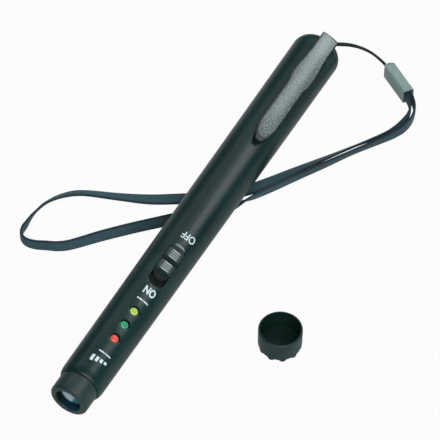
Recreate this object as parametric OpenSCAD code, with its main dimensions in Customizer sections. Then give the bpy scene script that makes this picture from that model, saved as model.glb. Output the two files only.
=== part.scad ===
// Pen-type gas leak detector, lying on its wrist strap with its nose cap taken off and stood beside it.
// Millimetres. The pen's axis is X, with the nose towards -X and the cap's shoulder at x = 0.

/* [Body] */
// Diameter of the body at the shoulder
front_d = 15; // [14.6:0.1:16]
// Diameter of the body where the rear rounding starts
rear_d = 17.6; // [16.6:0.1:19]
// Wall of the case halves
wall = 1.4; // [1.1:0.1:1.5]
// Radius of the rounded rear end
rear_round = 5; // [4.5:0.1:6]
// Length of the rounded shoulder along the body
shoulder_len = 3; // [1:0.1:4]
// Drop of the shoulder towards the collar, on the radius
shoulder_drop = 0.75; // [0.3:0.05:0.8]
// Thickness of the wall behind the shoulder
front_wall = 1.4; // [1:0.1:2]
// Turn of the pen about its axis as it lies, in degrees
roll = 26; // [0:1:30]

/* [Nose] */
// Diameter of the collar that the cap slides over
collar_d = 13.1; // [12.6:0.1:13.6]
// Length of the collar
collar_len = 7; // [6:0.1:9]
// Rounding of the collar's front edge
lip_round = 1; // [0.4:0.1:1.2]
// Diameter of the bore that holds the sensor
sensor_bore_d = 8.6; // [8.4:0.1:9.8]
// Depth of the open recess in front of the sensor
recess_depth = 2.2; // [2:0.1:3]
// Diameter of the neck that passes through the front wall
neck_d = 11.2; // [10.8:0.1:11.6]

/* [Lights] */
// Diameter of an indicator light
led_d = 3; // [2:0.1:3.2]
// Distance of the first light from the shoulder
led_first = 17.3; // [16.5:0.1:20]
// Distance between lights
led_pitch = 6.1; // [5:0.1:8]
// Depth of a light's top below the body
led_sink = 0.4; // [0.1:0.05:0.6]

/* [Switch] */
// Distance from the last light to the slot
led_to_slot = 11.5; // [11:0.1:15]
// Length of the slot
slot_len = 18.6; // [17:0.1:22]
// Width of the slot
slot_w = 6; // [5:0.1:6.4]
// Length of the sliding knob
knob_len = 14.6; // [13:0.1:15.5]
// Height of the knob's ridges above the body
knob_proud = 0.5; // [0.2:0.1:1]
// Distance from the slot to the battery bay
slot_to_bay = 7.4; // [7:0.1:10]

/* [Batteries] */
// Diameter of a cell
cell_d = 10.5; // [9.5:0.1:10.6]
// Length of a cell with its nub
cell_len = 44.5; // [42:0.1:46]
// Compressed length of the contact spring
spring_len = 4; // [3:0.1:6]

/* [Clip] */
// Length of the pocket clip
clip_len = 54; // [45:0.5:58]
// Width of the clip at its square rear end
clip_rear_w = 6.6; // [6:0.1:8]
// Greatest width of the clip
clip_w = 8.3; // [7:0.1:9]
// Width of the clip's front half
clip_pad_w = 6.7; // [5:0.1:7]
// Thickness of the clip's arm along its middle
clip_t = 1.6; // [1.3:0.1:2]
// Radius of the crown across the clip
clip_crown = 12; // [10:0.5:30]
// Gap between the arm and the body at the rear
clip_gap = 0.9; // [0.8:0.1:1.6]
// Distance of the clip's square end from the rear of the body
clip_inset = 2.4; // [1.5:0.1:4]

/* [Strap] */
// Width of the strap webbing
webbing_w = 4.6; // [4:0.1:4.8]
// Thickness of the strap webbing
webbing_t = 0.9; // [0.6:0.05:1]
// Diameter of the thin cord
cord_d = 0.9; // [0.7:0.05:1]
// Length of the bead that joins cord and webbing
bead_len = 15.4; // [14:0.1:18]
// Wall of the bead
bead_wall = 0.5; // [0.4:0.05:0.8]

/* [Cap] */
// Height of the cap
cap_h = 9; // [8.6:0.1:12]
// Wall of the cap
cap_wall = 0.6; // [0.5:0.1:1.2]
// Number of lobes round the closed end
cap_lobes = 10; // [8:1:12]

/* [Hidden] */
$fn = 72;

// Clearances
fit = 0.1;         // parts of one body that slip into each other
run = 0.3;         // parts of different bodies
led_clear = 0.2;   // round a light
slot_clear = 0.15; // at the ends of the knob's travel
cap_fit = 0.05;    // between collar and cap, on the radius
strap_clear = 0.1; // between the body and the strap that it lies on

// Stations along the axis
led_xs = [for (i = [0:2]) led_first + i*led_pitch];
led_last = led_xs[2];
slot_front = led_last + led_to_slot;
slot_rear = slot_front + slot_len;
bay_front = slot_rear + slot_to_bay;
contact_t = 0.5;
front_cell_x = bay_front + contact_t;
rear_cell_x = front_cell_x + cell_len;
spring_x = rear_cell_x + cell_len;
bay_back = spring_x + spring_len + contact_t;
back = bay_back + rear_round;

function body_r(x) = front_d/2 + (rear_d - front_d)/2*x/bay_back;
function inner_r(x) = body_r(x) - wall;
function arc(c, r, from, to, n = 8) =
    [for (i = [0:n]) let (a = from + (to - from)*i/n) c + r*[cos(a), sin(a)]];
function unit(v) = v/norm(v);
function ease(f) = let (c = min(max(f, 0), 1)) c*c*(3 - 2*c);

// Surface that everything lies on: the body rests on its rear end, or on the strap that crosses under it
strap_cross = 101;
floor_z = -max(rear_d/2, body_r(strap_cross) + webbing_t + strap_clear);

// Sensor stack, each piece behind the one before it
flange_x = front_wall + fit;
flange_t = 1.2;
flange_r = inner_r(flange_x) - fit;
seal_x = flange_x + flange_t;
seal_t = 0.8;
can_flange_x = seal_x + seal_t;
can_flange_t = 0.8;
base_x = can_flange_x + can_flange_t;
base_t = 1.2;
ledge_x = base_x + base_t;
ledge_t = 1;
can_r = sensor_bore_d/2 - 0.15;
can_wall = 0.4;
can_front = recess_depth - collar_len;
gauze_t = 0.6;
gauze_rim = 0.5;
gauze_r = can_r - gauze_rim;
gauze_sink = 2.3;
pin_r = 0.25;
pin_pitch = 2.5;
pin_reach = 3;

// Circuit board and what stands on it
board_t = 1;
board_top = 0.8;
board_w = 11;
board_front = ledge_x + ledge_t + 0.8;
bulkhead_t = 1.5;
board_back = bay_front - bulkhead_t - 0.4;
spacer_h = 1.6;
spacer_d = led_d + 0.8;
led_flange_t = 0.9;
led_leg = 0.9;
led_bevel = 0.3;
led_dome = 0.6;
led_ball = (pow(led_d/2, 2) + pow(led_dome, 2))/(2*led_dome);

// What is soldered under the board: length, width and height of each, and its gap from its neighbour
chip = [5.5, 4, 1.4];
chip_gap = 1;
chip_x = slot_front + chip_gap;
resistor = [1.6, 1.4, 0.6];
resistor_y = 4;
can_len = 6;
can_cap_r = 2;
can_cap_x = chip_x + chip[0] + chip_gap;
crystal = [3.2, 3.2, 2.6];
crystal_gap = 2.6;

// Screws before and after the lights, with the buzzer under the board between them
screw_gap = 4.6;
screw_xs = [led_first - screw_gap, led_last + screw_gap];
buzzer_r = 4.2;
buzzer_h = 3.2;
buzzer_x = (screw_xs[0] + screw_xs[1])/2;
sound_r = 0.6;
sound_pitch = 2.2;
screw_r = 0.8;
screw_head_r = 1.5;
screw_head_h = 1.2;
screw_sink = 1.6;
boss_r = 1.8;
screw_bite = 3;
screw_tip = board_top + screw_bite;

// Sliding switch
knob_w = slot_w - 2*slot_clear;
knob_rear = slot_rear - slot_clear;
knob_front = knob_rear - knob_len;
travel = slot_len - knob_len - 2*slot_clear;
plate_cover = 0.5;
plate_front = slot_front - plate_cover;
plate_rear = knob_rear + travel + slot_clear + plate_cover;
plate_w = slot_w + 1.8;
plate_t = 0.8;
plate_top = sqrt(pow(inner_r(plate_front - travel), 2) - pow(plate_w/2, 2)) - run;
switch_r = body_r(slot_front);
lever_l = 1.8;
lever_w = 1.6;
lever_x = (knob_front + knob_rear)/2;
lever_depth = 0.9;
base_h = 2.2;
base_w = 4.4;
base_end = 2.2;
ridge_l = 3.2;
ridge_inset = 3;
valley = 1.5;
rim_drop = 0.3;
rib_w = 0.45;

// Battery bay
cell_clear = 0.2;
nub_r = 2;
nub_h = 0.9;
spring_wire_r = 0.35;
spring_turns = 3;
spring_rs = [4, 2.6];
contact_r = cell_d/2 + 0.9;
contact_low = cell_d/2 - 0.4;
tab_w = 2.5;
ring_inset = 10;
ring_t = 1.2;
ring_xs = [for (x = [front_cell_x, rear_cell_x]) each [x + ring_inset, x + cell_len - ring_inset - ring_t]];
ring_low = 2.2;
lip_r = inner_r(bay_front) - 0.2;
lip_t = 0.8;
lip_drop = 1.4;
lip_shelf = [0.4, 1];
tongue_w = 4;
tongue_t = 0.9;
tongue_len = 2.6;
tongue_r = inner_r(bay_front - tongue_len) - 2*fit;
lead_r = 0.4;
lead_off = cell_d/2 + cell_clear + lead_r + fit;
lead_y = lead_off*sin(55);
lead_z = lead_off*cos(55);
lead_end = board_back - 3;

// Pocket clip: an arm over the body that turns a little at its root
clip_back = back - clip_inset;
clip_tip = clip_back - clip_len;
clip_z = rear_d/2 + clip_gap;
clip_top = clip_z + clip_t;
clip_bend = 1.8;
clip_bend_in = 6;
clip_pad_len = 10;
clip_tip_t = 1.6;
clip_edge = 0.3;
clip_grow = [8, 20.5];
clip_step = [21, 27];
clip_pitch = 1.5;
clip_touch = body_r(clip_tip) + run;
knuckle_r = 1.1;
knuckle_in = 7;
knuckle_lift = 0.6;
knuckle_x = clip_back - knuckle_in;
knuckle_z = body_r(knuckle_x) + knuckle_lift;
inlay_t = 0.4;
inlay_rim = 0.45;
inlay_proud = 0.05;

// Strap pin, in a pocket of the rear end beside the clip's middle
strap_pin_r = 0.6;
strap_pin_x = back - 2;
strap_pin_y = -1.5;
strap_pin_z = 4.8;
strap_pocket_w = 2.6;
strap_pin_len = strap_pocket_w + 2;
strap_pocket_d = strap_pin_r + cord_d + 0.4;

// Bead: its cord end, and the way that it points along the surface in degrees
bead_end = [174.3, -22.2];
bead_turn = 235;
bead_soft = 1.2;
bead_taper = [2, 1.2];
webbing_play = 0.2;
bead_mouth = [7, 2*webbing_t + 1.6, webbing_w + 2*webbing_play];
bead_w = bead_mouth[1] + 2*bead_wall;
bead_h = bead_mouth[2] + 2*bead_wall;
bead_hole = [4, 2, 3.2];

// Thin cord's route: out of the bead, round the strap pin, and back into the bead
cord_route = [
    [172.7, -24.1, -5.8], [174.1, -22.1, -5.8], [174.8, -20.8, -5.6], [175.1, -19.2, -5],
    [175.2, -17.1, -4], [174.8, -15.3, -2.8], [174, -13.6, -1.5], [172.9, -12.1, -0.2],
    [171.5, -10.4, 1.2], [169.7, -8.5, 2.6], [168.1, -6.9, 3.5], [167, -5.8, 4], [166.1, -4.9, 4.4],
    [165.2, -4.2, 4.7], [164, -4, 4.7], [163.1, -3.8, 4.4], [162.8, -3.4, 3.7], [163.1, -3.1, 2.9],
    [164, -2.9, 2.6], [165.4, -3, 2.6], [166.6, -4.3, 2.7], [167.4, -5.6, 2.8], [168.5, -6.7, 2.3],
    [170.2, -8.3, 1.4], [172.1, -10.1, 0], [173.6, -11.9, -1.3], [174.6, -13.4, -2.5],
    [175.5, -15, -3.8], [175.9, -16.9, -5], [175.8, -18.9, -6], [175.4, -20.6, -6.6],
    [174.5, -22.3, -6.9], [173, -24.4, -6.9]];

// Webbing's route on the surface: x, y, lean from flat in degrees, and whether the bead holds it up
webbing_route = [
    [167.7, -30.3, 90, 1], [164.9, -34.4, 90, 1], [162.6, -36.9, 90, 0.3], [160.2, -38.1, 90, 0],
    [157.3, -38.7, 90, 0], [154.4, -38.5, 90, 0], [151.6, -37.9, 87, 0], [148.8, -36.9, 80, 0],
    [145.4, -34.9, 68, 0], [136.2, -28.5, 53, 0], [127.2, -22.4, 42, 0], [118.2, -16.3, 27, 0],
    [109.9, -10.7, 9, 0], [103.8, -6.2, 0, 0], [99.2, -2, 0, 0], [95.2, 2.6, 0, 0], [91.4, 7.6, 0, 0],
    [88, 13, 0, 0], [82.7, 21.7, 5, 0], [78.3, 30.9, 20, 0], [74.5, 40.5, 28, 0], [72.1, 45, 30, 0],
    [69, 48.1, 36, 0], [65.9, 50.1, 44, 0], [62.7, 51.5, 52, 0], [58.7, 52.2, 62, 0],
    [55.5, 52.3, 74, 0], [52.4, 52.1, 84, 0], [49.3, 52, 88, 0], [46.8, 50.8, 90, 0],
    [45.6, 48.2, 90, 0], [46, 45, 88, 0], [47.4, 41.8, 86, 0], [48.8, 38.5, 84, 0], [50.8, 35.6, 82, 0],
    [53.4, 33.1, 80, 0], [60.1, 27.4, 76, 0], [67.7, 20.3, 74, 0], [74.5, 13.5, 72, 0],
    [77.6, 10.2, 62, 0], [80.6, 6.9, 36, 0], [83.8, 3.6, 12, 0], [87.4, 0.4, 0, 0], [91.2, -2.8, -8, 0],
    [95, -5.9, -40, 0], [99.2, -8.8, -70, 0], [105.9, -12.8, -80, 0], [114.9, -18.1, -80, 0],
    [124.4, -23.9, -78, 0], [134.2, -29.8, -72, 0], [143.4, -35.8, -78, 0], [147, -37.9, -84, 0],
    [149.5, -39.1, -87, 0], [152, -40, -90, 0], [155.3, -40.5, -90, 0], [158.7, -40.2, -90, 0],
    [161.9, -39.1, -90, 0], [164.4, -37.3, -90, 0.3], [166.1, -35.2, -90, 1], [169, -31.1, -90, 1]];

// Cap: beside the pen, mouth upwards
cap_at = [50.3, -45];
cap_r = collar_d/2 + cap_fit + cap_wall;
cap_floor = 1.2;
cap_round = 2;
cap_edge = 0.3;
lobe_r = 1.5;
lobe_inset = 0.1;
lobe_rise = 0.5;
lobe_sink = 0.2;
cap_step = [5.6, 0.6];

module along_x(x = 0) { translate([x, 0, 0]) rotate([0, 90, 0]) children(); }
module lie() { rotate([roll, 0, 0]) children(); }
module disc(x, t, r) { along_x(x) cylinder(h = t, r = r); }
module ring(x, t, r, bore) {
    along_x(x) difference() {
        cylinder(h = t, r = r);
        translate([0, 0, -1]) cylinder(h = t + 2, r = bore);
    }
}

// A box from its lowest to its highest corner
module block(low, high) { translate(low) cube(high - low); }

// Round-ended bar along X between two stations, standing on z
module stadium(from, to, w, z, h) {
    translate([0, 0, z]) linear_extrude(h) union() {
        translate([from + w/2, -w/2]) square([to - from - w, w]);
        for (x = [from + w/2, to - w/2]) translate([x, 0]) circle(d = w);
    }
}

module above(z, from = -1, to = back + 1) { block([from, -rear_d, z], [to, rear_d, 2*rear_d]); }
module below(z, from = -1, to = back + 1) { block([from, -rear_d, -2*rear_d], [to, rear_d, z]); }

// Outside of the body
module body_solid() {
    low = body_r(shoulder_len) - shoulder_drop;
    along_x() rotate_extrude() polygon(concat([[0, 0]],
        [for (a = [0:15:90]) [low + shoulder_drop*sin(a), shoulder_len*(1 - cos(a))]],
        arc([rear_d/2 - rear_round, bay_back], rear_round, 0, 90, 12), [[0, back]]));
}

module cavity(from = front_wall) {
    along_x(from) cylinder(h = bay_back - from, r1 = inner_r(from), r2 = inner_r(bay_back));
}

module body_shell() {
    difference() {
        body_solid();
        cavity();
        disc(-1, front_wall + 2, neck_d/2 + fit);
    }
}

// Partition in front of the batteries, with the passages for the two contacts' conductors
module bulkhead() {
    difference() {
        disc(bay_front - bulkhead_t, bulkhead_t, inner_r(bay_front) + wall/2);
        block([bay_front - bulkhead_t - 1, -tab_w/2 - fit, board_top - fit],
            [bay_front + 1, tab_w/2 + fit, board_top + contact_t + fit]);
        lead_path(lead_r + fit);
        translate([0, 0, -inner_r(bay_front)])
            block([bay_front - bulkhead_t - 1, -tongue_w/2 - run, -1],
                [bay_front + 1, tongue_w/2 + run, tongue_t + 2*run]);
    }
}

// Web that the sensor base backs onto
module sensor_ledge() { ring(ledge_x, ledge_t, inner_r(ledge_x) + wall/2, can_r); }

module upper_case() color("#2c3234") lie() difference() {
    intersection() {
        body_solid();
        union() {
            intersection() {
                union() {
                    body_shell();
                    bulkhead();
                    sensor_ledge();
                }
                above(0);
            }
            intersection() {
                for (x = ring_xs) ring(x, ring_t, inner_r(x) + wall/2, cell_d/2 + cell_clear);
                above(ring_low);
            }
            for (x = screw_xs) translate([x, 0, board_top])
                cylinder(h = inner_r(x) - board_top + wall/2, r = boss_r);
            guide_lips();
        }
    }
    for (x = led_xs) translate([x, 0, board_top]) {
        cylinder(h = rear_d, d = led_d + 2*led_clear);
        translate([0, 0, body_r(x) - board_top - led_bevel/2])
            cylinder(h = led_bevel, r1 = led_d/2 + led_clear, r2 = led_d/2 + led_clear + led_bevel);
    }
    stadium(slot_front, slot_rear, slot_w, plate_top, rear_d);
    for (x = screw_xs) translate([x, 0, board_top - 1])
        cylinder(h = screw_tip - board_top + 1.5, r = screw_r + fit/2);
    for (x = ring_xs) disc(x - 1, ring_t + 2, cell_d/2 + cell_clear);
    lead_path(lead_r + fit);
    translate([knuckle_x, -clip_rear_w/2 - run, knuckle_z]) rotate([-90, 0, 0])
        cylinder(h = clip_rear_w + 2*run, r = knuckle_r + run);
    strap_pocket();
}

// Lips inside the seam that guide the battery cover
module guide_lips() {
    lip_from = bay_front;
    lip_len = bay_back - contact_t - run - lip_from;
    difference() {
        union() {
            intersection() {
                disc(lip_from, lip_len, lip_r);
                block([lip_from, -rear_d, -lip_drop], [back, rear_d, lip_shelf[1]]);
            }
            intersection() {
                disc(lip_from, lip_len, inner_r(bay_back) + wall/2);
                cavity_and_wall();
                block([lip_from, -rear_d, lip_shelf[0]], [back, rear_d, lip_shelf[1]]);
            }
        }
        disc(lip_from - 1, lip_len + 2, lip_r - lip_t);
    }
}

module cavity_and_wall() {
    along_x(front_wall) cylinder(h = bay_back - front_wall, r1 = inner_r(front_wall) + wall/2,
        r2 = inner_r(bay_back) + wall/2);
}

module strap_pocket() {
    translate([strap_pin_x, strap_pin_y, strap_pin_z]) {
        block([-strap_pocket_d, -strap_pocket_w/2, -strap_pocket_d],
            [back - strap_pin_x + 1, strap_pocket_w/2, strap_pocket_d]);
        translate([0, -strap_pin_len/2, 0]) rotate([-90, 0, 0]) cylinder(h = strap_pin_len, r = strap_pin_r);
    }
}

module lower_case() color("#2c3234") lie() difference() {
    intersection() {
        body_solid();
        union() {
            intersection() {
                union() {
                    body_shell();
                    bulkhead();
                    sensor_ledge();
                }
                below(0, -1, bay_front);
            }
            for (x = screw_xs) translate([x, 0, -body_r(x)])
                cylinder(h = body_r(x) + board_top - board_t, r = boss_r);
        }
    }
    for (x = screw_xs) translate([x, 0, -body_r(x)]) {
        translate([0, 0, -1]) cylinder(h = screw_sink + screw_head_h + 1, r = screw_head_r + fit);
        cylinder(h = rear_d, r = screw_r + fit);
    }
    for (side = [-1:1]) translate([buzzer_x, side*sound_pitch, -rear_d])
        cylinder(h = rear_d - buzzer_r, r = sound_r);
}

module battery_cover() color("#2c3234") lie() {
    difference() {
        intersection() {
            body_solid();
            below(-fit, bay_front + fit, back + 1);
        }
        cavity();
        disc(bay_back - 1, 1 + fit, inner_r(bay_back));
    }
    intersection() {
        union() {
            ring(bay_front - tongue_len, 2*tongue_len, tongue_r, tongue_r - tongue_t);
            ring(bay_front + fit, tongue_len, body_r(bay_front) - wall/2, tongue_r - tongue_t/2);
        }
        block([bay_front - tongue_len, -tongue_w/2, -rear_d], [bay_front + 2*tongue_len, tongue_w/2, 0]);
    }
}

module nose_collar() color("#2f3637") lie() along_x() rotate_extrude() polygon(concat(
    [[sensor_bore_d/2, -collar_len + lip_round/2]],
    arc([sensor_bore_d/2 + lip_round/2, -collar_len + lip_round/2], lip_round/2, 180, 270, 5),
    arc([collar_d/2 - lip_round, -collar_len + lip_round], lip_round, -90, 0),
    [[collar_d/2, 0], [neck_d/2, 0], [neck_d/2, flange_x], [flange_r, flange_x], [flange_r, seal_x],
    [sensor_bore_d/2, seal_x]]));

module sensor_seal() color("#1a1a1a") lie() ring(seal_x, seal_t, flange_r - 0.2, sensor_bore_d/2);

module sensor_can() color("#b9bfc2") lie() difference() {
    union() {
        disc(can_front, can_flange_x - can_front, can_r);
        disc(can_flange_x, can_flange_t, flange_r - can_wall);
    }
    disc(can_front - 1, 1 + gauze_sink + gauze_t, gauze_r);
    disc(can_front + gauze_sink + gauze_t + can_wall, base_x - can_front, can_r - can_wall);
}

module sensor_gauze() color("#8d9496") lie()
    disc(can_front + gauze_sink, gauze_t, gauze_r);

module sensor_base() color("#3d6b4a") lie() {
    disc(base_x, base_t, inner_r(base_x) - fit);
    for (y = [-pin_pitch, 0, pin_pitch]) translate([0, y, board_top + pin_r])
        disc(ledge_x, board_front + pin_reach - ledge_x, pin_r);
}

module circuit_board() color("#1f5a3a") lie() difference() {
    block([board_front, -board_w/2, board_top - board_t], [board_back, board_w/2, board_top]);
    for (x = screw_xs) translate([x, 0, board_top - board_t - 1])
        cylinder(h = board_t + 2, r = screw_r + fit);
}

// Round light on its spacer, with its flange, dome and two legs
module led(i) {
    x = led_xs[i];
    foot = board_top + spacer_h;
    top = body_r(x) - led_sink;
    lie() translate([x, 0, 0]) {
        translate([0, 0, foot]) cylinder(h = led_flange_t, d = spacer_d);
        translate([0, 0, foot]) cylinder(h = top - led_dome - foot, d = led_d);
        intersection() {
            translate([0, 0, top - led_ball]) sphere(r = led_ball);
            translate([-led_d, -led_d, top - led_dome]) cube(2*led_d);
        }
        for (side = [-1, 1]) translate([0, side*led_leg, board_top]) cylinder(h = spacer_h, r = pin_r);
    }
}
module led_red() color("#d8202c") led(0);
module led_green() color("#1f9a55") led(1);
module led_yellow() color("#a6d83a") led(2);

module led_spacers() color("#d8d4c8") lie() for (x = led_xs) translate([x, 0, board_top]) difference() {
    cylinder(h = spacer_h, d = spacer_d);
    for (side = [-1, 1]) translate([0, side*led_leg, -1]) cylinder(h = spacer_h + 2, r = pin_r + fit/2);
}

module switch_base() color("#4a4f52") lie() difference() {
    block([lever_x - lever_l/2 - travel - base_end, -base_w/2, board_top],
        [lever_x + lever_l/2 + base_end, base_w/2, board_top + base_h]);
    block([lever_x - lever_l/2 - travel - run, -lever_w/2 - run, board_top + base_h - lever_depth - run],
        [lever_x + lever_l/2 + run, lever_w/2 + run, board_top + base_h + 1]);
}

module switch_lever() color("#d0d0cc") lie()
    block([lever_x - lever_l/2, -lever_w/2, board_top + base_h - lever_depth],
        [lever_x + lever_l/2, lever_w/2, plate_top - plate_t]);

// Side view of the knob: two ribbed ridges with a finger valley between them, and a rim at the rear
module knob_side() {
    top = switch_r + knob_proud;
    rim = top - rim_drop;
    low = top - valley;
    dip = low + rim_drop;
    front = knob_front + ridge_inset;
    rear = knob_rear - ridge_inset - ridge_l;
    slope = valley/2;
    difference() {
        polygon([[knob_front - 1, plate_top - 1], [knob_rear + 1, plate_top - 1], [knob_rear + 1, rim],
            [knob_rear - slope, rim], [knob_rear - 2*slope, dip], [rear + ridge_l + slope, dip],
            [rear + ridge_l, top], [rear, top], [rear - slope, low], [front + ridge_l + slope, low],
            [front + ridge_l, top], [front, top], [front - slope, low], [knob_front - 1, low - slope]]);
        for (from = [front, rear], k = [1:3])
            translate([from + k*ridge_l/4, top]) rotate(45) square(rib_w, center = true);
    }
}

module switch_knob() color("#3a4244") lie() {
    intersection() {
        stadium(knob_front, knob_rear, knob_w, plate_top - plate_t, rear_d);
        translate([0, knob_w, 0]) rotate([90, 0, 0]) linear_extrude(2*knob_w) knob_side();
        disc(knob_front - 1, knob_len + 2, switch_r + knob_proud);
    }
    block([plate_front, -plate_w/2, plate_top - plate_t], [plate_rear, plate_w/2, plate_top]);
}

module buzzer() color("#202020") lie() translate([buzzer_x, 0, board_top - board_t - buzzer_h]) difference() {
    cylinder(h = buzzer_h, r = buzzer_r);
    translate([0, 0, -1]) cylinder(h = 1.6, r = 1);
}

module controller_chip() color("#222426") lie()
    translate([chip_x, -chip[1]/2, board_top - board_t - chip[2]]) cube(chip);

// Capacitor, four resistors and crystal
module board_parts() color("#8a6a3a") lie() translate([0, 0, board_top - board_t]) {
    translate([0, 0, -can_cap_r]) disc(can_cap_x, can_len, can_cap_r);
    for (x = [chip_x, chip_x + chip[0] - resistor[0]], y = [-resistor_y, resistor_y])
        translate([x, y - resistor[1]/2, -resistor[2]]) cube(resistor);
    translate([screw_xs[1] + crystal_gap, -crystal[1]/2, -crystal[2]]) cube(crystal);
}

module case_screws() color("#9aa0a2") lie() for (x = screw_xs) {
    seat = -body_r(x) + screw_sink + screw_head_h;
    translate([x, 0, seat - screw_head_h]) difference() {
        cylinder(h = screw_head_h, r = screw_head_r);
        for (a = [0, 90]) rotate(a) translate([-1, -0.2, -1]) cube([2, 0.4, 1.5]);
    }
    translate([x, 0, seat]) cylinder(h = screw_tip - seat, r = screw_r);
}

module front_contact() color("#c0b070") lie() {
    disc(bay_front, contact_t, contact_r - 1);
    block([board_back - 2, -tab_w/2, board_top], [bay_front + contact_t, tab_w/2, board_top + contact_t]);
}

// Its lower edge is cut level, clear of the battery cover's way out
module rear_contact() color("#b8bcc0") lie() intersection() {
    disc(bay_back - contact_t, contact_t, contact_r);
    above(-contact_low);
}

// Conical contact spring as one wound wire
module contact_spring() color("#c9ccd0") lie() {
    steps = 16*spring_turns;
    from = bay_back - contact_t - spring_wire_r - fit/2;
    to = spring_x + spring_wire_r + fit/2;
    path = [for (i = [0:steps]) let (f = i/steps, r = spring_rs[0] + (spring_rs[1] - spring_rs[0])*f)
        [from + (to - from)*f, r*cos(360*spring_turns*f), r*sin(360*spring_turns*f)]];
    tube(path, spring_wire_r, 6, [1, 0, 0]);
}

module cell(x) {
    disc(x, nub_h, nub_r);
    disc(x + nub_h, cell_len - nub_h, cell_d/2);
}
module front_cell() color("#4f7a3a") lie() cell(front_cell_x);
module rear_cell() color("#4f7a3a") lie() cell(rear_cell_x);

// Conductor from the rear contact along the bay to the board
module lead_path(r) {
    translate([0, lead_y, lead_z]) disc(lead_end, bay_back - contact_t - lead_end, r);
    translate([lead_end, lead_y, board_top]) cylinder(h = lead_z - board_top, r = r);
    translate([lead_end, lead_y, lead_z]) sphere(r = r);
}
module negative_lead() color("#202022") lie() lead_path(lead_r);

// Half of the clip's width at a distance from its square end
function between(s, span) = ease((s - span[0])/(span[1] - span[0]));
function clip_half(s) = clip_rear_w/2 + (clip_w - clip_rear_w)/2*between(s, clip_grow)
    - (clip_w - clip_pad_w)/2*between(s, clip_step);

// Outline of the clip from above: square rear end, wide half, narrow half, and round tip
module clip_outline(inset = 0, tip_inset = 0) {
    straight = clip_len - clip_pad_len;
    tip = clip_tip + tip_inset;
    round_len = clip_back - straight - tip;
    half = concat(
        [for (s = [0:clip_pitch:straight]) [clip_back - max(s, inset), clip_half(s) - inset]],
        [for (a = [0:10:80]) [tip + round_len*(1 - sin(a)), (clip_pad_w/2 - inset)*cos(a)]]);
    other = [for (i = [len(half) - 1:-1:0]) [half[i][0], -half[i][1]]];
    polygon(concat(half, [[tip, 0]], other));
}

// Side of the arm: level, then bending down to the body at the tip
module clip_side() {
    drop_out = clip_top - clip_touch - clip_edge;
    drop_in = clip_z - clip_touch;
    inner = clip_tip + clip_tip_t;
    polygon(concat([[clip_back + 1, clip_z], [clip_back + 1, clip_top]],
        [for (a = [0:15:90]) [clip_tip + clip_bend*(1 - sin(a)), clip_top - drop_out*(1 - cos(a))]],
        [[clip_tip, clip_touch], [inner, clip_touch]],
        [for (a = [75:-15:0]) [inner + clip_bend_in*(1 - sin(a)), clip_z - drop_in*(1 - cos(a))]]));
}

// Cylinder whose top is the clip's crown, or lies above it by the given height
module crown(up = 0) {
    translate([0, 0, clip_top - clip_crown]) disc(clip_tip - 1, clip_len + 2, clip_crown + up);
}

module extrude_y(w) { translate([0, w/2, 0]) rotate([90, 0, 0]) linear_extrude(w) children(); }

module pocket_clip() color("#24292b") lie() difference() {
    union() {
        intersection() {
            extrude_y(2*clip_w) clip_side();
            linear_extrude(2*rear_d) clip_outline();
            crown();
        }
        translate([knuckle_x, -clip_rear_w/2, knuckle_z]) rotate([-90, 0, 0])
            cylinder(h = clip_rear_w, r = knuckle_r);
        block([knuckle_x - knuckle_r, -clip_rear_w/2, knuckle_z],
            [knuckle_x + knuckle_r, clip_rear_w/2, clip_z + clip_t/2]);
    }
    inlay(1);
}

// Face plate let into the arm's crown, standing up by the given height
module inlay(proud) {
    intersection() {
        difference() {
            crown(proud);
            crown(-inlay_t);
        }
        linear_extrude(2*rear_d) clip_outline(inlay_rim, clip_bend);
    }
}
module clip_plate() color("#9aa3a4") lie() inlay(inlay_proud);

module strap_pin() color("#b4b8bb") lie() translate([strap_pin_x, strap_pin_y - strap_pin_len/2, strap_pin_z])
    rotate([-90, 0, 0]) cylinder(h = strap_pin_len, r = strap_pin_r);

// Triangles of a sweep of closed rings, with both ends closed
function sweep_faces(rings, sides) = concat(
    [for (i = [0:rings - 2], k = [0:sides - 1]) let (a = i*sides + k, b = i*sides + (k + 1)%sides)
        each [[a, b, a + sides], [b, b + sides, a + sides]]],
    [for (k = [1:sides - 2]) [0, k + 1, k]],
    [for (k = [1:sides - 2]) let (e = (rings - 1)*sides) [e, e + k, e + k + 1]]);
function tangents(p) = [for (i = [0:len(p) - 1]) unit(p[min(i + 1, len(p) - 1)] - p[max(i - 1, 0)])];
function square_to(n, t) = unit(n - (n*t)*t);
// Side vectors carried along the tangents without twist
function carried(t, n, i = 0) = i == len(t) ? [] :
    let (m = square_to(n, t[i])) concat([m], carried(t, m, i + 1));

module tube(path, r, sides, start) {
    t = tangents(path);
    n = carried(t, start);
    points = [for (i = [0:len(path) - 1], k = [0:sides - 1]) let (a = -360*k/sides)
        path[i] + r*(cos(a)*n[i] + sin(a)*cross(t[i], n[i]))];
    polyhedron(points, sweep_faces(len(path), sides));
}

module strap_cord() color("#20262a") tube(cord_route, cord_d/2, 8, [0, 0, 1]);

// Webbing: a flat band with softened edges, leaning as its route says, its lower edge on the surface
module strap_webbing() color("#3c4b55") {
    w = webbing_w/2;
    h = webbing_t/2;
    soft = 0.35*webbing_t;
    lift = (bead_h - webbing_w)/2;
    section = [[w, h - soft], [w - soft, h], [soft - w, h], [-w, h - soft], [-w, soft - h], [soft - w, -h],
        [w - soft, -h], [w, soft - h]];
    line = [for (p = webbing_route) [p[0], p[1], floor_z + p[3]*lift + h*cos(p[2]) + w*abs(sin(p[2]))]];
    t = tangents(line);
    points = [for (i = [0:len(line) - 1])
        let (lean = webbing_route[i][2], level = unit([-t[i][1], t[i][0], 0]),
            across = square_to(cos(lean)*level + sin(lean)*[0, 0, 1], t[i]), face = cross(t[i], across))
        for (q = section) line[i] + q[0]*across + q[1]*face];
    polyhedron(points, sweep_faces(len(line), len(section)));
}

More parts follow.
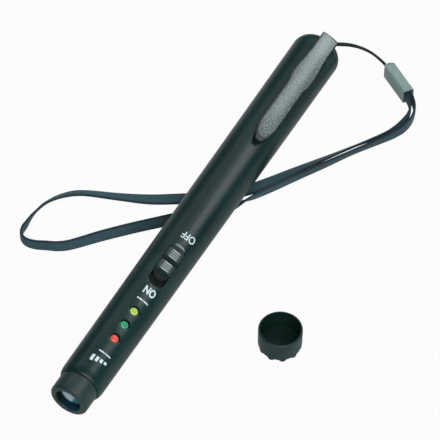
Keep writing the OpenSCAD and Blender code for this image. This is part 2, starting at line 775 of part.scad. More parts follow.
// Bead: a rounded sleeve, tapered at the cord's hole and open at the other end for the webbing
module bead_section() {
    square([bead_w, bead_h - 2*bead_soft], center = true);
    square([bead_w - 2*bead_soft, bead_h], center = true);
    for (y = [-1, 1], z = [-1, 1])
        translate([y*(bead_w/2 - bead_soft), z*(bead_h/2 - bead_soft)]) circle(r = bead_soft);
}
module bead_outline(w) {
    low = w/2 - bead_taper[1]*(1 + 1/bead_taper[0]);
    high = w/2 + bead_taper[1];
    polygon([[-1, low], [2*bead_taper[0], high], [bead_len + 1, high], [bead_len + 1, -high],
        [2*bead_taper[0], -high], [-1, -low]]);
}
module bead_solid() intersection() {
    rotate([90, 0, 90]) linear_extrude(bead_len) bead_section();
    translate([0, 0, -bead_h]) linear_extrude(2*bead_h) bead_outline(bead_w);
    extrude_y(2*bead_w) bead_outline(bead_h);
}
module strap_bead() color("#78908a")
    translate([bead_end[0], bead_end[1], floor_z + bead_h/2]) rotate(bead_turn) difference() {
        bead_solid();
        translate([bead_len - bead_mouth[0], -bead_mouth[1]/2, -bead_mouth[2]/2])
            cube([bead_mouth[0] + 1, bead_mouth[1], bead_mouth[2]]);
        translate([-1, -bead_hole[1]/2, -bead_hole[2]/2])
            cube([bead_hole[0] + 1, bead_hole[1], bead_hole[2]]);
    }

// Cap: a cup with scalloped lobes round its closed end
module cap_solid() {
    rotate_extrude() polygon(concat([[0, lobe_rise]],
        arc([cap_r - cap_round, lobe_rise + cap_round], cap_round, -90, 0),
        [[cap_r, cap_h - cap_edge], [cap_r - cap_edge, cap_h], [0, cap_h]]));
    for (k = [0:cap_lobes - 1]) rotate(360*k/cap_lobes)
        translate([cap_r - lobe_r - lobe_inset, 0, lobe_r - lobe_sink]) sphere(r = lobe_r);
}
module protective_cap() color("#2b3133") translate([cap_at[0], cap_at[1], floor_z]) difference() {
    intersection() {
        cap_solid();
        cylinder(h = cap_h, r = cap_r + lobe_r);
    }
    translate([0, 0, cap_floor]) cylinder(h = cap_h, r = cap_step[0]);
    translate([0, 0, cap_floor + cap_step[1]]) cylinder(h = cap_h, r = collar_d/2 + cap_fit);
}

upper_case();
lower_case();
battery_cover();
nose_collar();
sensor_seal();
sensor_can();
sensor_gauze();
sensor_base();
circuit_board();
led_red();
led_green();
led_yellow();
led_spacers();
switch_base();
switch_lever();
switch_knob();
buzzer();
controller_chip();
board_parts();
case_screws();
front_contact();
rear_contact();
contact_spring();
front_cell();
rear_cell();
negative_lead();
pocket_clip();
clip_plate();
strap_pin();
strap_cord();
strap_bead();
strap_webbing();
protective_cap();
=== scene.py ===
import math

import bpy
from mathutils import Euler, Matrix, Vector


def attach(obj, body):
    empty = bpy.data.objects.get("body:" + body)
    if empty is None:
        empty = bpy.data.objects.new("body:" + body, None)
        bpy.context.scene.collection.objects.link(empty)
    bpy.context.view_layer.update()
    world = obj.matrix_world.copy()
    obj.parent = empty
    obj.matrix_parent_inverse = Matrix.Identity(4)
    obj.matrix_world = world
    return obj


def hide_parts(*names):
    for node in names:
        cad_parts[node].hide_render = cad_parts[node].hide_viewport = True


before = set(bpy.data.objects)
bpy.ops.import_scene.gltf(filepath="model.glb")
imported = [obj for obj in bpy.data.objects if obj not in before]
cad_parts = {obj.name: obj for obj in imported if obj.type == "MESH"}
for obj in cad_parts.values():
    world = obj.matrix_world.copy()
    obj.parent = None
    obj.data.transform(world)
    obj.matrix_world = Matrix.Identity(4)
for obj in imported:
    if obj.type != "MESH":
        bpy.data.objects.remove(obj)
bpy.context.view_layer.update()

MM = 0.001

# Sizes and places of the solids, with the pen along x and its shoulder at 0
ROLL = math.radians(26)
PEN_LEN = 161 * MM
FRONT_R, REAR_R = 7.5 * MM, 8.8 * MM
BORE_R = 4.3 * MM
CAN_MOUTH = -4.8 * MM
LIGHT_R = 1.5 * MM
RED_X, GREEN_X, YELLOW_X = 17.3 * MM, 23.4 * MM, 29.5 * MM
CREST, RIM, RIM_X = 8.3 * MM, 8.0 * MM, 58.3 * MM
CLIP_TIP, CLIP_BACK = 108 * MM, 160 * MM
CELLS_X, CELL_BAND = (68.4 * MM, 112.9 * MM), 9.6 * MM
CAP_X, CAP_Y, CAP_BORE_R = 50.3 * MM, -45 * MM, 6.62 * MM
CORD_R = 0.45 * MM
WEBBING_HALF_W, WEBBING_HALF_T = 2.3 * MM, 0.45 * MM
WEBBING_LIFT = 0.7 * MM
STRAP_ROOM = 1 * MM
REST_X = 101 * MM


def body_r(x):
    """Radius of the pen at a distance from its shoulder."""
    return FRONT_R + (REAR_R - FRONT_R) * x / PEN_LEN


FLOOR_Z = -(body_r(REST_X) + STRAP_ROOM)


# Hand tools

def put_down():
    """Leaves edit mode with nothing selected."""
    if bpy.context.object and bpy.context.object.mode != "OBJECT":
        bpy.ops.object.mode_set(mode="OBJECT")
    bpy.ops.object.select_all(action="DESELECT")


def take(obj):
    """Selects this object alone."""
    put_down()
    obj.select_set(True)
    bpy.context.view_layer.objects.active = obj
    return obj


def named(name):
    """The piece just added, under its name."""
    bpy.context.object.name = bpy.context.object.data.name = name
    return bpy.context.object


def work_on(obj, mode="FACE"):
    """Opens the piece in edit mode with nothing picked."""
    take(obj)
    bpy.ops.object.mode_set(mode="EDIT")
    bpy.ops.mesh.select_mode(type=mode)
    bpy.ops.mesh.select_all(action="DESELECT")


def settle(obj):
    """Puts the piece's place, turn and size into its mesh."""
    take(obj)
    bpy.ops.object.transform_apply(location=True, rotation=True, scale=True)
    return obj


def finish_with(obj, kind, **settings):
    """Adds a modifier and applies it."""
    take(obj)
    modifier = obj.modifiers.new(kind.lower(), kind)
    for key, value in settings.items():
        setattr(modifier, key, value)
    bpy.ops.object.modifier_apply(modifier=modifier.name)
    return obj


def smooth(obj, degrees):
    """Smooth shading up to an angle between faces."""
    take(obj)
    bpy.ops.object.shade_smooth_by_angle(angle=math.radians(degrees))
    return obj


def belongs(obj, body, slot, finish, *nodes):
    """The piece's body and finish, and the solids that it stands for. The slot is not used."""
    obj.data.materials.clear()
    obj.data.materials.append(finish)
    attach(obj, body)
    if nodes:
        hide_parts(*nodes)
    return obj


# Camera, at the photograph's angle

PITCH, HEADING, TILT = math.radians(39), math.radians(-61.5), math.radians(0.344)
CAMERA_AT = (-0.36077, -0.24588, 0.61945)
view = Euler((PITCH, 0, HEADING)).to_matrix() @ Matrix.Rotation(TILT, 3, "Z")
bpy.ops.object.camera_add(location=CAMERA_AT, rotation=view.to_euler())
camera = named("camera")
camera.data.sensor_width = 36
camera.data.lens = 196.36
camera.data.clip_start, camera.data.clip_end = 0.01, 20
bpy.context.scene.camera = camera


# Finishes

def shade(code):
    """A colour from its hexadecimal code, as the shader wants it."""
    parts = [int(code[i:i + 2], 16) / 255 for i in (0, 2, 4)]
    return (*[c / 12.92 if c <= 0.04045 else ((c + 0.055) / 1.055) ** 2.4 for c in parts], 1)


class Lead:
    """A node's output. Sums on it add Math nodes to the same finish."""

    def __init__(self, finish, socket):
        self.finish, self.socket = finish, socket

    def sum_of(self, operation, *values):
        return self.finish.node("Math", {"operation": operation}, dict(enumerate(values)))

    def __add__(self, other):
        return self.sum_of("ADD", self, other)

    def __sub__(self, other):
        return self.sum_of("SUBTRACT", self, other)

    def __rsub__(self, other):
        return self.sum_of("SUBTRACT", other, self)

    def __mul__(self, other):
        return self.sum_of("MULTIPLY", self, other)

    def __truediv__(self, other):
        return self.sum_of("DIVIDE", self, other)

    def __pow__(self, other):
        return self.sum_of("POWER", self, other)

    __radd__, __rmul__ = __add__, __mul__

    def sin(self):
        return self.sum_of("SINE", self)

    def size(self):
        return self.sum_of("ABSOLUTE", self)

    def most(self, other):
        return self.sum_of("MAXIMUM", self, other)

    def step(self, low, high):
        """0 below low, 1 above high, smooth between."""
        return self.finish.node("MapRange", {"interpolation_type": "SMOOTHSTEP"},
                                {"Value": self, "From Min": low, "From Max": high})


class Finish:
    """The nodes of a material or of the room."""

    def __init__(self, name, tree=None):
        if tree is None:
            self.material = bpy.data.materials.new(name)
            self.material.use_nodes = True
            tree = self.material.node_tree
        self.tree = tree
        tree.nodes.clear()

    def node(self, kind, settings=None, sockets=None, out=0):
        """A node of this type: its settings first, then its sockets' values or links. Gives one output."""
        made = self.tree.nodes.new("ShaderNode" + kind)
        for key, value in (settings or {}).items():
            setattr(made, key, value)
        for key, value in (sockets or {}).items():
            if isinstance(value, Lead):
                self.tree.links.new(value.socket, made.inputs[key])
            else:
                made.inputs[key].default_value = value
        return Lead(self, made.outputs[out]) if len(made.outputs) else made

    def place(self, scale=(1, 1, 1), turn=(0, 0, 0), shift=(0, 0, 0)):
        """Object coordinates, turned, scaled and moved."""
        there = self.node("TexCoord", out="Object")
        moved = {"Vector": there, "Location": shift, "Rotation": turn, "Scale": scale}
        return self.node("Mapping", None, moved)

    def apart(self, vector):
        """The three numbers of a vector."""
        first = self.node("SeparateXYZ", None, {0: vector})
        return [Lead(self, s) for s in first.socket.node.outputs]

    def noise(self, vector, scale, detail=2.0, rough=0.5):
        grain = {"Vector": vector, "Scale": scale, "Detail": detail, "Roughness": rough}
        return self.node("TexNoise", None, grain)

    def blend(self, share, a, b):
        """Colour a where the share is 0, b where it is 1."""
        return self.node("Mix", {"data_type": "RGBA"}, {0: share, 6: a, 7: b}, out=2)

    def relief(self, height, depth, strength=1.0):
        return self.node("Bump", None, {"Height": height, "Distance": depth, "Strength": strength})

    def surface(self, **sockets):
        """The Principled surface, by its sockets' names with _ for a space."""
        named_so = {key.replace("_", " "): value for key, value in sockets.items()}
        shader = self.node("BsdfPrincipled", None, named_so)
        self.node("OutputMaterial", None, {"Surface": shader})
        return self.material


def moulded(name, dark, light, rough, grain=0.35 * MM, depth=0.012 * MM, level=0.5, mottle=14 * MM):
    """Moulded plastic: spark-eroded grain, faint flow clouds, handling marks in the gloss."""
    f = Finish(name)
    here = f.place()
    cloud = f.noise(here, 1 / mottle, 3)
    pits = f.noise(here, 1 / grain, 2, 0.6)
    rubbed = f.noise(f.place((1, 2.6, 2.6)), 1 / (5 * MM), 4, 0.62).step(0.52, 0.74)
    tone = (cloud * 0.7 + pits * 0.3).step(0.36, 0.64)
    return f.surface(Base_Color=f.blend(tone, shade(dark), shade(light)),
                     Roughness=rough + (pits - 0.5) * 0.16 - rubbed * 0.05,
                     Specular_IOR_Level=level, Normal=f.relief(pits, depth))


def metal(name, dark, light, rough, along=(1, 1, 1), fine=0.12 * MM):
    """Drawn or stamped metal: streaks along one way, duller patches."""
    f = Finish(name)
    streak = f.noise(f.place(along), 1 / fine, 3, 0.6)
    patch = f.noise(f.place(), 1 / (2.2 * MM), 3, 0.6)
    tone = streak * 0.5 + patch * 0.5
    return f.surface(Base_Color=f.blend(tone.step(0.34, 0.66), shade(dark), shade(light)), Metallic=1.0,
                     Roughness=rough + (patch - 0.5) * 0.24, Normal=f.relief(streak, 0.004 * MM))


def knob_finish(name):
    """The switch's plastic: painted shade low down in the slot, painted highlights on the ridges' crests and
    the rear rim.
    """
    f = Finish(name)
    along, _, up = f.apart(f.place(turn=(-ROLL, 0, 0)))
    pits = f.noise(f.place(), 1 / (0.3 * MM), 2, 0.6)
    # Painted shade: deep darkens the colour low down in the slot.
    clear = (up + (pits - 0.5) * (0.3 * MM)).step(CREST - 1.7 * MM, CREST - 0.6 * MM)
    deep = f.blend(clear, shade("030c0b"), shade("1c2c2c"))
    # Painted highlights: 8f9c9a on the ridges' crests and on the rear rim's crest (rim).
    painted_crest_highlight = (up + (pits - 0.5) * (0.08 * MM)).step(CREST - 0.2 * MM, CREST)
    rim = along.step(RIM_X - 0.2 * MM, RIM_X + 0.2 * MM) * up.step(RIM - 0.3 * MM, RIM)
    return f.surface(Base_Color=f.blend((painted_crest_highlight * 0.9).most(rim * 0.55), deep, shade("8f9c9a")),
                     Roughness=0.8 - clear * 0.4 + (pits - 0.5) * 0.2,
                     Specular_IOR_Level=0.4, Normal=f.relief(pits, 0.008 * MM))


def cap_finish(name):
    """The cap's plastic: dull, darker inside as painted shade, a rubbed rim and outside."""
    f = Finish(name)
    x, y, _ = f.apart(f.place(shift=(-CAP_X, -CAP_Y, 0)))
    out = ((x * x + y * y) ** 0.5).step(CAP_BORE_R, CAP_BORE_R + 0.28 * MM)
    cloud = f.noise(f.place(), 1 / (3 * MM), 3)
    pits = f.noise(f.place(), 1 / (0.35 * MM), 2, 0.6)
    skin = f.blend((cloud * 0.6 + pits * 0.4).step(0.36, 0.64), shade("0f2626"), shade("1b3535"))
    # 08241f inside the cup is painted shade.
    return f.surface(Base_Color=f.blend(out, shade("08241f"), skin),
                     Roughness=0.52 + (pits - 0.5) * 0.16 - out * 0.08,
                     Specular_IOR_Level=0.3, Normal=f.relief(pits, 0.014 * MM))


def collar_finish(name):
    """The collar's plastic: grained outside, painted shade in the sensor's bore, bluer on one side there."""
    f = Finish(name)
    _, across, up = f.apart(f.place(turn=(-ROLL, 0, 0)))
    cloud = f.noise(f.place(), 1 / (14 * MM), 3)
    pits = f.noise(f.place(), 1 / (0.35 * MM), 2, 0.6)
    skin = f.blend((cloud * 0.7 + pits * 0.3).step(0.36, 0.64), shade("1d2d2d"), shade("283838"))
    # Painted shade: near-black down the sensor's bore, bluer on one side.
    bore = f.blend((across * -1).step(-3 * MM, 3 * MM), shade("061a15"), shade("092c42"))
    out = ((across * across + up * up) ** 0.5).step(BORE_R + 0.05 * MM, BORE_R + 0.4 * MM)
    return f.surface(Base_Color=f.blend(out, bore, skin), Roughness=0.42 + (pits - 0.5) * 0.16,
                     Specular_IOR_Level=0.35, Normal=f.relief(pits, 0.012 * MM))


def can_finish(name):
    """The sensor's can: dull bright metal, lightened with a painted highlight, dark blue at its mouth, with a
    painted teal reflection on one side.
    """
    f = Finish(name)
    along, across, _ = f.apart(f.place(turn=(-ROLL, 0, 0)))
    grain = f.noise(f.place((4, 1, 1)), 1 / (0.3 * MM), 3)
    deep = (along + (grain - 0.5) * (0.3 * MM)).step(CAN_MOUTH + 0.1 * MM, CAN_MOUTH + 0.8 * MM)
    ragged = (f.noise(f.place(), 1 / (1.4 * MM), 3) - 0.5) * (1.4 * MM)
    # A painted teal reflection on the -y side.
    stain_and_painted_reflection = (across * -1 + ragged).step(0.5 * MM, 1.9 * MM)
    # Light blue-white: partly the metal's own colour, partly a painted highlight.
    pale_metal_and_painted_highlight = f.blend(grain, shade("b6cfde"), shade("e6f2fa"))
    inside = f.blend(stain_and_painted_reflection, pale_metal_and_painted_highlight, shade("3d93a6"))
    return f.surface(Base_Color=f.blend(deep, shade("12303d"), inside), Metallic=0.25,
                     Roughness=0.45 + (grain - 0.5) * 0.2, Normal=f.relief(grain, 0.01 * MM))


def lens(name, centre, rim, x):
    """Tinted resin dome: the cup under it darkens the middle, and the rim lets light through. A painted
    shadow ring darkens its edge, and it is faintly lit in its own colour as painted light.
    """
    f = Finish(name)
    across = f.apart(f.place(turn=(-ROLL, 0, 0)))[1]
    along = f.apart(f.place(shift=(-x, 0, 0)))[0]
    out = (along * along + across * across) ** 0.5 / LIGHT_R
    haze = f.noise(f.place(), 1 / (0.5 * MM), 3)
    die = 1 - (along.size().most(across.size()) / (0.34 * MM)).step(0.6, 1.2)
    tone = out.step(0.30, 0.75) * 0.85 + (haze - 0.5) * 0.3 + die * 0.35
    # 081010 round the dome's edge is a painted shadow ring, where the hole's wall shades it.
    tint_and_painted_shadow_ring = f.blend(out.step(0.84, 0.95), f.blend(tone, shade(centre), shade(rim)), shade("081010"))
    # Emission 0.1 is painted light: the lens faintly lit in its own colour.
    return f.surface(Base_Color=tint_and_painted_shadow_ring, Roughness=0.32 + haze * 0.1,
                     Coat_Weight=0.25, Coat_Roughness=0.25, Subsurface_Weight=0.25, Subsurface_Scale=0.5 * MM,
                     Subsurface_Radius=(1.0, 1.0, 1.0), Emission_Color=tint_and_painted_shadow_ring, Emission_Strength=0.1)


def speckled_face(name):
    """Silver-grey lacquer with fine flake, painted lighter towards the rear, with painted shade along both
    edges and towards the tip.
    """
    f = Finish(name)
    along, across, _ = f.apart(f.place(turn=(-ROLL, 0, 0)))
    flake = f.noise(f.place((0.6, 1, 1)), 1 / (0.3 * MM), 2, 0.55)
    cloud = f.noise(f.place(), 1 / (7 * MM), 3)
    # Painted light: the middle colour lightens towards the rear.
    rear = (along.step(CLIP_TIP, CLIP_BACK - 10 * MM) * 0.45
            + along.step(CLIP_BACK - 12 * MM, CLIP_BACK - 1 * MM) * 0.55 + (cloud - 0.5) * 0.3)
    middle = f.blend(rear, shade("565f5f"), shade("7c8787"))
    # Painted shade: 263437 along both edges and towards the tip, less near the rear.
    edge = ((across - 0.5 * MM).size() + (flake - 0.5) * (0.7 * MM)).step(0.3 * MM, 3.3 * MM)
    edge = edge.most(1 - along.step(CLIP_TIP + 4 * MM, CLIP_TIP + 19 * MM))
    painted_edge_and_tip_shade = edge * (1 - along.step(CLIP_BACK - 20 * MM, CLIP_BACK) * 0.45)
    lacquer = f.blend(painted_edge_and_tip_shade, middle, shade("263437"))
    return f.surface(Base_Color=f.blend((flake - 0.5) * 1.5 + 0.14, lacquer, shade("b6bfbf")), Metallic=0.15,
                     Roughness=0.5 + (flake - 0.5) * 0.25, Specular_IOR_Level=0.4,
                     Normal=f.relief(flake, 0.015 * MM))


def woven_band(name):
    """Narrow woven webbing: crossing yarns along and across the band, painted shade along both edges, faded
    on the crowns.
    """
    f = Finish(name)
    along, across, _ = f.apart(f.node("UVMap", {"uv_map": "run"}))
    warp, weft = across * (2 * math.pi / (0.62 * MM)), along * (2 * math.pi / (0.72 * MM))
    over = warp.sin() * weft.sin()
    rib = (warp * 0.5).sin().size() * 0.5 + (over * 0.5 + 0.5) * 0.5
    fuzz = f.noise(f.place(), 1 / (0.16 * MM), 3, 0.65)
    fade = f.noise(f.place(), 1 / (16 * MM), 3)
    # Painted shade: the band darkens along both edges.
    edge = (across.size() / WEBBING_HALF_W).step(0.62, 0.92)
    tone = (rib * 0.55 + fuzz * 0.25 + fade * 0.3 - edge * 0.35).step(0.2, 0.92)
    return f.surface(Base_Color=f.blend(tone, shade("0b1f26"), shade("3c5963")),
                     Roughness=0.78 + (fuzz - 0.5) * 0.2, Specular_IOR_Level=0.3, Sheen_Weight=0.12,
                     Sheen_Roughness=0.5, Sheen_Tint=(0.5, 0.62, 0.7, 1),
                     Normal=f.relief(rib + fuzz * 0.4, 0.07 * MM))


def braided(name):
    """Thin braided cord: two sets of strands wound against each other."""
    f = Finish(name)
    along, turn, _ = f.apart(f.node("UVMap", {"uv_map": "run"}))
    right, left = along * (2 * math.pi / (1.1 * MM)), turn * (2 * math.pi * 4)
    over = (right + left).sin().most((right - left).sin())
    fuzz = f.noise(f.place(), 1 / (0.12 * MM), 3, 0.65)
    tone = (over * 0.5 + 0.5) * 0.6 + fuzz * 0.4
    return f.surface(Base_Color=f.blend(tone.step(0.25, 0.85), shade("080c0e"), shade("1d2629")),
                     Roughness=0.7 + (fuzz - 0.5) * 0.2, Specular_IOR_Level=0.35,
                     Normal=f.relief(over + fuzz * 0.4, 0.06 * MM))


def ink(name):
    """Pale screen print, thin in places."""
    f = Finish(name)
    thin = f.noise(f.place(), 1 / (0.5 * MM), 4, 0.65)
    return f.surface(Base_Color=f.blend(thin.step(0.3, 0.62), shade("8fa6ab"), shade("dbe9ec")),
                     Roughness=0.55 + (thin - 0.5) * 0.2, Normal=f.relief(thin, 0.008 * MM))


def gauze_finish(name):
    """Sintered steel gauze: dull olive-grey wires with dark pores."""
    f = Finish(name)
    _, y, z = f.apart(f.place())
    mesh = 2 * math.pi / (0.5 * MM)
    wires = (y * mesh).sin().size().most((z * mesh).sin().size())
    stain_and_painted_reflection = f.noise(f.place(), 1 / (1.6 * MM), 3)
    return f.surface(Base_Color=f.blend(wires.step(0.4, 0.9), shade("3c3f39"), shade("8b8d82")),
                     Metallic=0.4, Roughness=0.5 + (stain_and_painted_reflection - 0.5) * 0.3, Normal=f.relief(wires, 0.05 * MM))


def laminate(name):
    """Circuit board: solder mask over copper tracks."""
    f = Finish(name)
    y = f.apart(f.place(turn=(-ROLL, 0, 0)))[1]
    lanes = ((y * (2 * math.pi / (1.1 * MM))).sin() * 0.5 + 0.5).step(0.7, 0.9)
    gate = f.noise(f.place((0.25, 1, 1)), 1 / (1.4 * MM), 1).step(0.48, 0.52)
    glass = f.noise(f.place(), 1 / (0.4 * MM), 3)
    track = lanes * gate
    return f.surface(Base_Color=f.blend(track * 0.6 + (glass - 0.5) * 0.3, shade("14492f"), shade("3f8257")),
                     Roughness=0.38 + (glass - 0.5) * 0.2, Normal=f.relief(track + glass * 0.3, 0.02 * MM))


def sleeve(name):
    """Shrink sleeve of a plain cell: a body colour with a paler band at the nub's end, faint creases."""
    f = Finish(name)
    x = f.apart(f.place())[0]
    crease = f.noise(f.place((0.3, 1, 1)), 1 / (1.6 * MM), 4, 0.6)
    edge = 0.2 * MM
    first, second = [(x - start).step(0, edge) * (1 - (x - (start + CELL_BAND)).step(0, edge))
                     for start in CELLS_X]
    cloth = f.blend(crease, shade("2c5136"), shade("3f6d4a"))
    return f.surface(Base_Color=f.blend(first + second, cloth, shade("c3b06a")),
                     Roughness=0.3 + (crease - 0.5) * 0.2, Normal=f.relief(crease, 0.03 * MM))


case_plastic = moulded("case_plastic", "082122", "0e2a2a", 0.34, level=0.32)
collar_plastic = collar_finish("collar_plastic")
knob_plastic = knob_finish("knob_plastic")
clip_plastic = moulded("clip_plastic", "0d1819", "131f20", 0.36, level=0.35)
cap_plastic = cap_finish("cap_plastic")
bead_plastic = moulded("bead_plastic", "768a85", "7e918c", 0.42, grain=0.25 * MM, depth=0.003 * MM,
                       mottle=5 * MM)
seal_rubber = moulded("seal_rubber", "0c0d0e", "17191a", 0.7, level=0.3)
base_plastic = moulded("base_plastic", "26503a", "34644a", 0.45)
spacer_plastic = moulded("spacer_plastic", "c2bdb0", "d6d2c6", 0.5)
switch_plastic = moulded("switch_plastic", "303537", "43494b", 0.42)
lever_plastic = moulded("lever_plastic", "bcbcb6", "d2d2cc", 0.4)
buzzer_plastic = moulded("buzzer_plastic", "0f1010", "1b1d1d", 0.4)
chip_plastic = moulded("chip_plastic", "131516", "202324", 0.45)
parts_coat = moulded("parts_coat", "6b5230", "8c6e40", 0.4, mottle=2 * MM)
lead_cover = moulded("lead_cover", "101112", "1d1f20", 0.4)
can_steel = can_finish("can_steel")
pin_steel = metal("pin_steel", "8c9295", "c0c5c8", 0.28)
screw_steel = metal("screw_steel", "7c8386", "b5babd", 0.34)
contact_brass = metal("contact_brass", "8f7d45", "c9b878", 0.3)
contact_steel = metal("contact_steel", "8b9194", "c2c7ca", 0.3)
spring_steel = metal("spring_steel", "8f9598", "cbd0d3", 0.26)
red_lens = lens("red_lens", "c02a20", "e86a58", RED_X)
green_lens = lens("green_lens", "0a6446", "35b184", GREEN_X)
yellow_lens = lens("yellow_lens", "7fae2c", "c3e070", YELLOW_X)
clip_face = speckled_face("clip_face")
webbing_weave = woven_band("webbing_weave")
cord_braid = braided("cord_braid")
print_ink = ink("print_ink")
gauze_steel = gauze_finish("gauze_steel")
board_laminate = laminate("board_laminate")
cell_wrap = sleeve("cell_wrap")

KEPT = {
    "sensor_seal": seal_rubber, "sensor_gauze": gauze_steel, "sensor_base": base_plastic,
    "circuit_board": board_laminate, "board_parts": parts_coat, "controller_chip": chip_plastic,
    "led_red": red_lens, "led_green": green_lens, "led_yellow": yellow_lens, "led_spacers": spacer_plastic,
    "switch_base": switch_plastic, "switch_lever": lever_plastic, "buzzer": buzzer_plastic,
    "front_contact": contact_brass, "rear_contact": contact_steel, "contact_spring": spring_steel,
    "front_cell": cell_wrap, "rear_cell": cell_wrap, "negative_lead": lead_cover, "strap_pin": pin_steel,
}
for node, finish in KEPT.items():
    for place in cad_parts[node].material_slots:
        place.material = finish


# Cords: the thin cord goes from the bead round the strap pin and back, the webbing round the loop and back

CORD_ROUTE = [
    (172.7, -24.1, -5.8), (174.1, -22.1, -5.8), (174.8, -20.8, -5.6), (175.1, -19.2, -5),
    (175.2, -17.1, -4), (174.8, -15.3, -2.8), (174, -13.6, -1.5), (172.9, -12.1, -0.2),
    (171.5, -10.4, 1.2), (169.7, -8.5, 2.6), (168.1, -6.9, 3.5), (167, -5.8, 4), (166.1, -4.9, 4.4),
    (165.2, -4.2, 4.7), (164, -4, 4.7), (163.1, -3.8, 4.4), (162.8, -3.4, 3.7), (163.1, -3.1, 2.9),
    (164, -2.9, 2.6), (165.4, -3, 2.6), (166.6, -4.3, 2.7), (167.4, -5.6, 2.8), (168.5, -6.7, 2.3),
    (170.2, -8.3, 1.4), (172.1, -10.1, 0), (173.6, -11.9, -1.3), (174.6, -13.4, -2.5),
    (175.5, -15, -3.8), (175.9, -16.9, -5), (175.8, -18.9, -6), (175.4, -20.6, -6.6),
    (174.5, -22.3, -6.9), (173, -24.4, -6.9)]

# x, y, lean from flat in degrees, and whether the bead holds it up
WEBBING_ROUTE = [
    (167.7, -30.3, 90, 1), (164.9, -34.4, 90, 1), (162.6, -36.9, 90, 0.3), (160.2, -38.1, 90, 0),
    (157.3, -38.7, 90, 0), (154.4, -38.5, 90, 0), (151.6, -37.9, 87, 0), (148.8, -36.9, 80, 0),
    (145.4, -34.9, 68, 0), (136.2, -28.5, 53, 0), (127.2, -22.4, 42, 0), (118.2, -16.3, 27, 0),
    (109.9, -10.7, 9, 0), (103.8, -6.2, 0, 0), (99.2, -2, 0, 0), (95.2, 2.6, 0, 0), (91.4, 7.6, 0, 0),
    (88, 13, 0, 0), (82.7, 21.7, 5, 0), (78.3, 30.9, 20, 0), (74.5, 40.5, 28, 0), (72.1, 45, 30, 0),
    (69, 48.1, 36, 0), (65.9, 50.1, 44, 0), (62.7, 51.5, 52, 0), (58.7, 52.2, 62, 0),
    (55.5, 52.3, 74, 0), (52.4, 52.1, 84, 0), (49.3, 52, 88, 0), (46.8, 50.8, 90, 0),
    (45.6, 48.2, 90, 0), (46, 45, 88, 0), (47.4, 41.8, 86, 0), (48.8, 38.5, 84, 0), (50.8, 35.6, 82, 0),
    (53.4, 33.1, 80, 0), (60.1, 27.4, 76, 0), (67.7, 20.3, 74, 0), (74.5, 13.5, 72, 0),
    (77.6, 10.2, 62, 0), (80.6, 6.9, 36, 0), (83.8, 3.6, 12, 0), (87.4, 0.4, 0, 0), (91.2, -2.8, -8, 0),
    (95, -5.9, -40, 0), (99.2, -8.8, -70, 0), (105.9, -12.8, -80, 0), (114.9, -18.1, -80, 0),
    (124.4, -23.9, -78, 0), (134.2, -29.8, -72, 0), (143.4, -35.8, -78, 0), (147, -37.9, -84, 0),
    (149.5, -39.1, -87, 0), (152, -40, -90, 0), (155.3, -40.5, -90, 0), (158.7, -40.2, -90, 0),
    (161.9, -39.1, -90, 0), (164.4, -37.3, -90, 0.3), (166.1, -35.2, -90, 1), (169, -31.1, -90, 1)]


def flowing(points, steps):
    """The points on one smooth curve, with steps between each two."""
    points = [Vector(p) for p in points]
    held = [points[0] * 2 - points[1], *points, points[-1] * 2 - points[-2]]
    line = []
    for a, b, c, d in zip(held, held[1:], held[2:], held[3:]):
        for i in range(steps):
            t = i / steps
            line.append((b * 2 + (c - a) * t + (a * 2 - b * 5 + c * 4 - d) * t ** 2
                         + (b * 3 - a - c * 3 + d) * t ** 3) / 2)
    return [*line, points[-1]]


def headings(line):
    """The way that the line goes at each of its points."""
    last = len(line) - 1
    return [(line[min(i + 1, last)] - line[max(i - 1, 0)]).normalized() for i in range(last + 1)]


def length_of(line):
    """The line's length along its points."""
    return sum((b - a).length for a, b in zip(line, line[1:]))


def swept(name, line, frames, section, seam):
    """A section carried along a line. Its UV map holds the run and the section's measure, closed at seam."""
    count = len(section)
    points, faces, run = [], [], [0.0]
    for here, (across, face) in zip(line, frames):
        points += [here + across * a + face * b for a, b, _ in section]
    for a, b in zip(line, line[1:]):
        run.append(run[-1] + (b - a).length)
    for i in range(len(line) - 1):
        faces += [(i * count + k, i * count + (k + 1) % count, (i + 1) * count + (k + 1) % count,
                   (i + 1) * count + k) for k in range(count)]
    faces += [tuple(reversed(range(count))), tuple(range((len(line) - 1) * count, len(line) * count))]
    mesh = bpy.data.meshes.new(name)
    mesh.from_pydata(points, [], faces)
    uv = mesh.uv_layers.new(name="run")
    for polygon in mesh.polygons:
        last_side = len(polygon.vertices) == 4 and polygon.vertices[0] % count == count - 1
        for loop, vertex in zip(polygon.loop_indices, polygon.vertices):
            ring, k = divmod(vertex, count)
            uv.data[loop].uv = (run[ring], seam if last_side and k == 0 else section[k][2])
    obj = bpy.data.objects.new(name, mesh)
    bpy.context.scene.collection.objects.link(obj)
    work_on(obj)
    bpy.ops.mesh.select_all(action="SELECT")
    bpy.ops.mesh.normals_make_consistent(inside=False)
    put_down()
    return smooth(obj, 50)


def thin_cord():
    """The doubled cord between the bead and the strap pin, and its line."""
    line = [p * MM for p in flowing(CORD_ROUTE, 10)]
    frames, side = [], Vector((0, 0, 1))
    for way in headings(line):
        side = (side - way * side.dot(way)).normalized()
        frames.append((side, way.cross(side)))
    around = 14
    turns = [k / around for k in range(around)]
    section = [(CORD_R * math.cos(2 * math.pi * t), CORD_R * math.sin(2 * math.pi * t), t) for t in turns]
    cord = swept("strap_thin_cord", line, frames, section, 1)
    belongs(cord, "case", "cord_braid", cord_braid, "strap_cord")
    return cord, line


